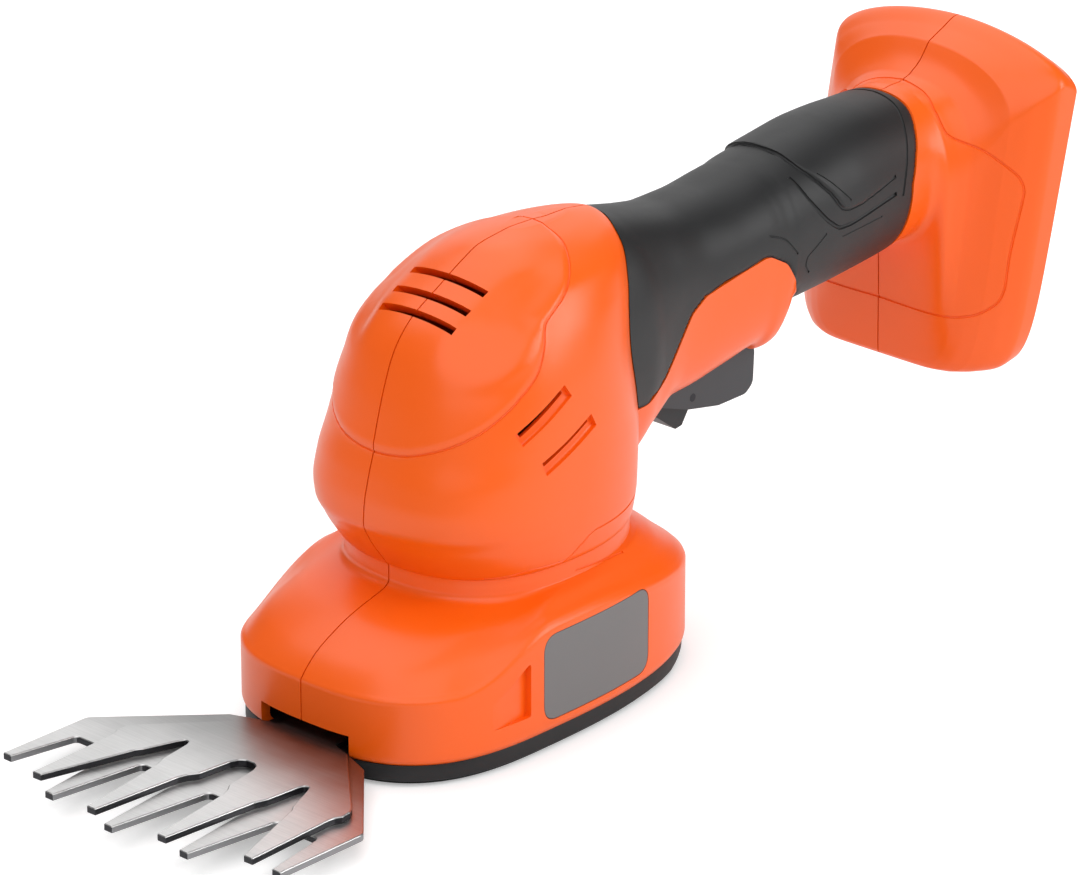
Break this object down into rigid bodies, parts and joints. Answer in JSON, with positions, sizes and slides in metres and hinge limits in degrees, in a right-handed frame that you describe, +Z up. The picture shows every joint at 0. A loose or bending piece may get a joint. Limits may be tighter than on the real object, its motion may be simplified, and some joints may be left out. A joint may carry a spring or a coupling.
{
  "type": "cordless grass shears",
  "caption": "Hand-held cordless grass shears: clamshell body with rubber grip, trigger with lock, sole plate and a toothed blade swinging over a fixed one.",
  "frame": {"origin": "on the underside of the sole, straight under the blade pivot", "axes": "forward (the blades) is -X, up is +Z, the left side is -Y"},
  "size_m": [0.343, 0.103, 0.1428],
  "materials": {
    "casing_plastic": "satin moulded orange plastic",
    "grip_rubber": "matt moulded charcoal rubber",
    "plate_grey": "satin dark grey",
    "sole_plastic": "satin black",
    "blade_steel": "fine brushed",
    "brass": "plain",
    "frame_alloy": "as cast",
    "gear_plastic": "natural moulded",
    "motor_steel": "plated",
    "magnet": "sintered",
    "trigger_plastic": "satin charcoal",
    "lead_red": "insulated lead",
    "lead_black": "insulated lead",
    "black_plastic": "satin black",
    "fastener_steel": "zinc plated"
  },
  "bodies": {
    "body": {"casing_left": "casing_plastic", "casing_right": "casing_plastic", "grip_left": "grip_rubber", "grip_right": "grip_rubber", "badge_left": "plate_grey", "badge_right": "plate_grey", "sole_plate": "sole_plastic", "sole_screws": "fastener_steel", "casing_screws": "fastener_steel", "lower_blade": "blade_steel", "pivot_bolt": "fastener_steel", "pivot_washer": "brass", "pivot_nut": "fastener_steel", "gear_bridge": "frame_alloy", "motor_plate": "frame_alloy", "plate_screws": "fastener_steel", "cam_axle": "fastener_steel", "compound_axle": "fastener_steel", "motor_can": "motor_steel", "motor_magnets": "magnet", "motor_end_cap": "black_plastic", "motor_bushes": "brass", "motor_brushes": "black_plastic", "motor_terminals": "brass", "motor_screws": "fastener_steel", "trigger_pin": "fastener_steel", "trigger_spring": "fastener_steel", "switch_body": "black_plastic", "switch_terminals": "brass", "terminal_block": "black_plastic", "battery_contacts": "brass", "lead_feed": "lead_red", "lead_return": "lead_black", "lead_motor": "lead_red"},
    "blade": {"upper_blade": "blade_steel"},
    "rotor": {"motor_shaft": "fastener_steel", "armature_core": "motor_steel", "commutator": "brass", "motor_pinion": "brass"},
    "idler": {"compound_gear": "gear_plastic"},
    "cam": {"cam_gear": "gear_plastic"},
    "trigger": {"trigger": "trigger_plastic", "lock_pin": "fastener_steel"},
    "lock": {"lock_lever": "black_plastic"},
    "plunger": {"switch_plunger": "black_plastic"}
  },
  "joints": [
    {"name": "blade_swing", "type": "hinge", "parent": "body", "child": "blade", "pos_m": [0, 0, 0.0086], "axis": [0, 0, 1], "range_deg": [-8.4, 3.6]},
    {"name": "motor_spin", "type": "hinge", "parent": "body", "child": "rotor", "pos_m": [0.026, 0, 0.06], "axis": [0, 0, 1], "continuous": true},
    {"name": "compound_spin", "type": "hinge", "parent": "body", "child": "idler", "pos_m": [0.0476, 0, 0.02], "axis": [0, 0, 1], "continuous": true},
    {"name": "cam_spin", "type": "hinge", "parent": "body", "child": "cam", "pos_m": [0.026, 0, 0.015], "axis": [0, 0, 1], "continuous": true},
    {"name": "trigger_pull", "type": "hinge", "parent": "body", "child": "trigger", "pos_m": [0.08697, 0, 0.07593], "axis": [0, -1, 0], "range_deg": [0, 6], "stiffness_Nm_per_rad": 0.6, "springref_deg": -5.73, "deforming": ["trigger_spring"]},
    {"name": "lock_press", "type": "hinge", "parent": "trigger", "child": "lock", "pos_m": [0.096, 0, 0.06306], "axis": [0, -1, 0], "range_deg": [0, 12], "stiffness_Nm_per_rad": 0.05, "springref_deg": -11.46},
    {"name": "plunger_press", "type": "slide", "parent": "body", "child": "plunger", "axis": [0, 0, 1], "range_m": [0, 0.00265]}
  ],
  "couplings": [
    {"joint": "compound_spin", "follows": "motor_spin", "ratio": -0.28571},
    {"joint": "cam_spin", "follows": "motor_spin", "ratio": 0.081633},
    {"joint": "plunger_press", "follows": "trigger_pull", "m_per_rad": 0.024976}
  ]
}
